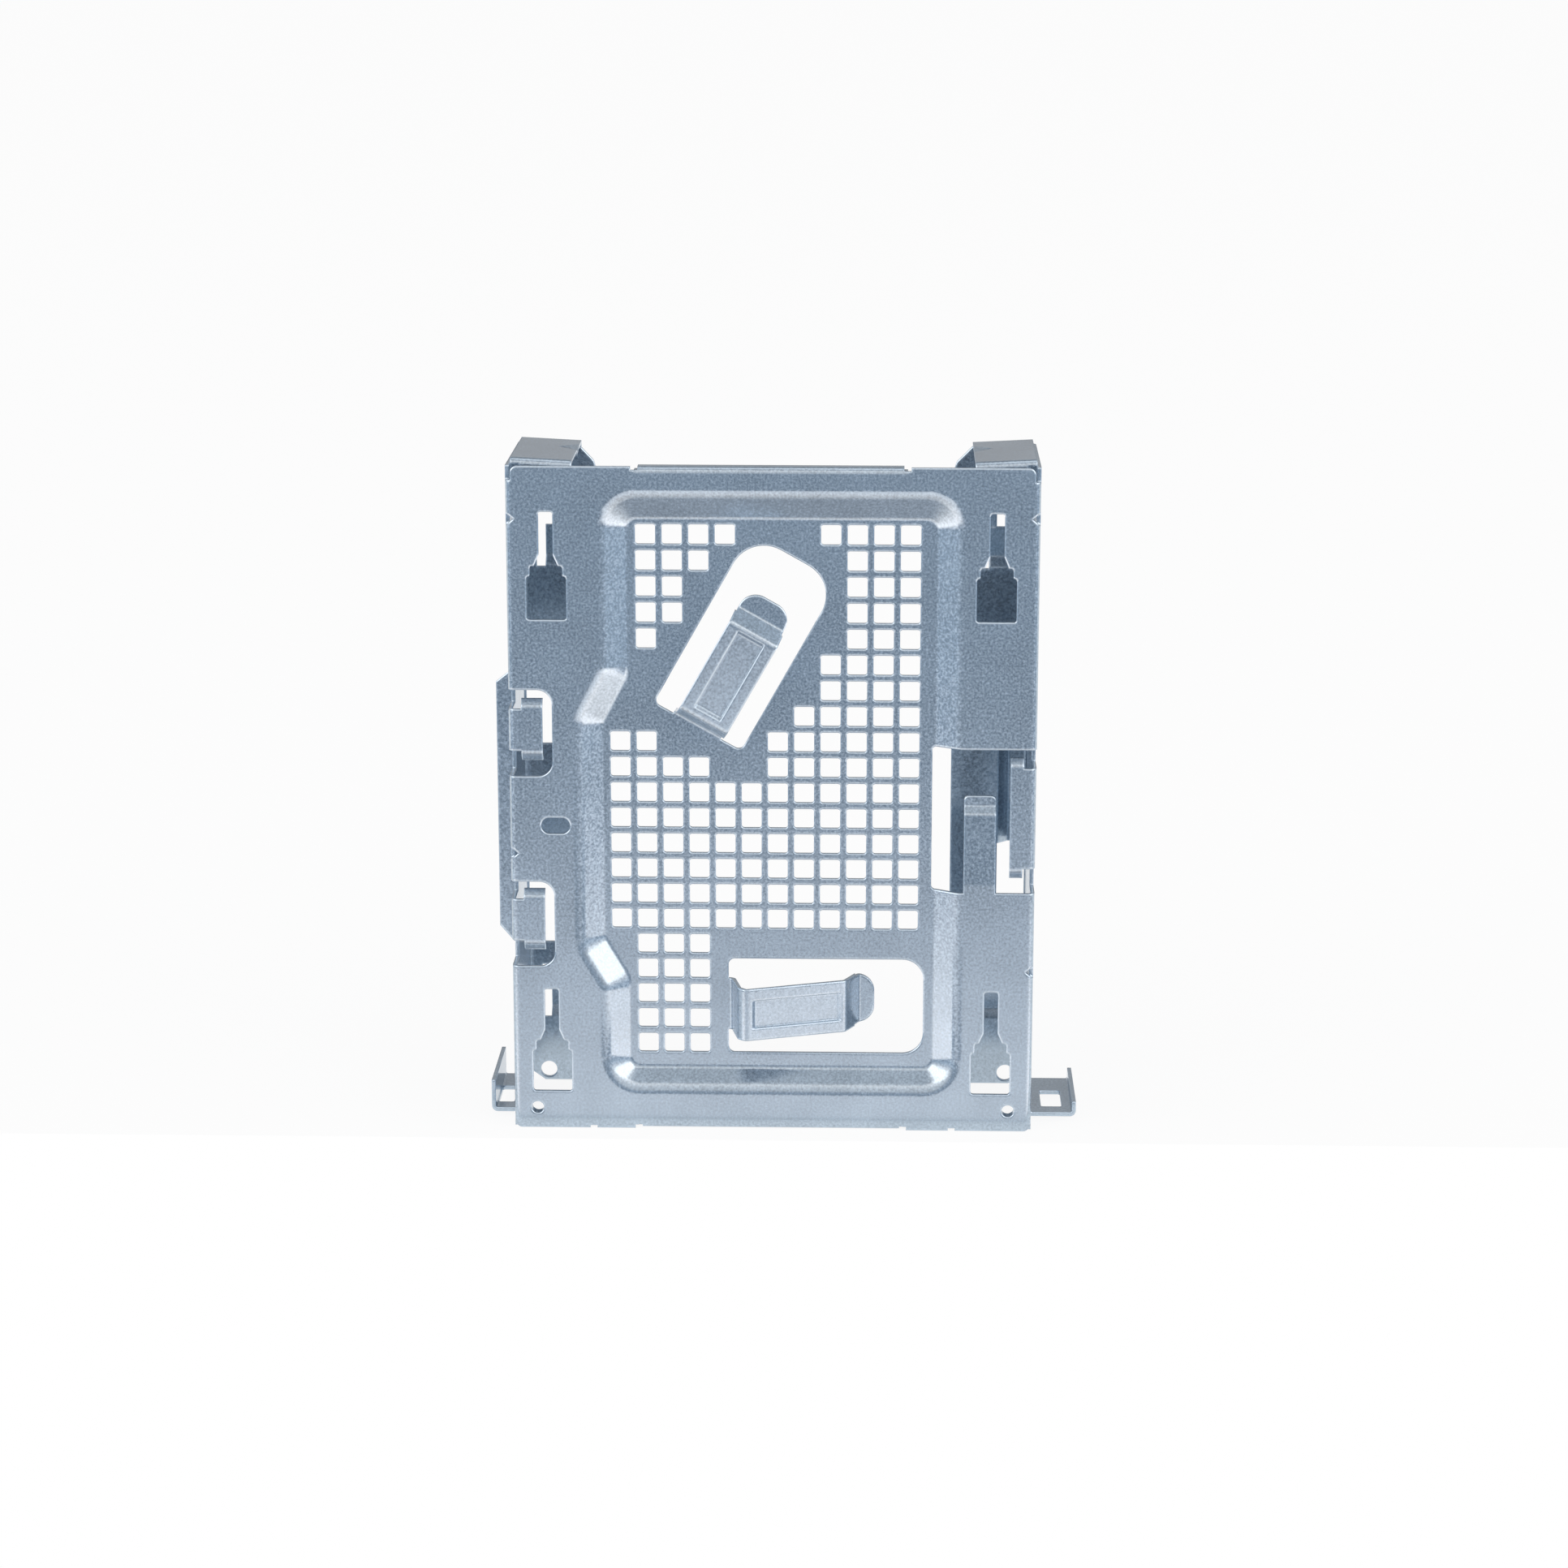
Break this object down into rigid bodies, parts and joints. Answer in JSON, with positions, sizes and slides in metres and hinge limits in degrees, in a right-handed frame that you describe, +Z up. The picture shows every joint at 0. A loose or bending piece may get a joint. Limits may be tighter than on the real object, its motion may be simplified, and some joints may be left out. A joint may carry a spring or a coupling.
{
  "type": "hard drive caddy",
  "caption": "Folded galvanised sheet-metal caddy that holds a 3.5-inch drive behind a vented, pressed-in front panel with spring fingers, hanging holes and turned-out feet.",
  "frame": {"origin": "on the centre line of the front plate, at its front face and its bottom edge", "axes": "+X to the right seen from the front, +Y from the front plate back into the drive bay, +Z up"},
  "size_m": [0.1187, 0.0398, 0.1357],
  "materials": {
    "galvanised_sheet": "galvanised sheet steel with a fine mottled zinc grain, satin"
  },
  "bodies": {
    "root": {"drive_caddy": "galvanised_sheet"}
  },
  "joints": []
}
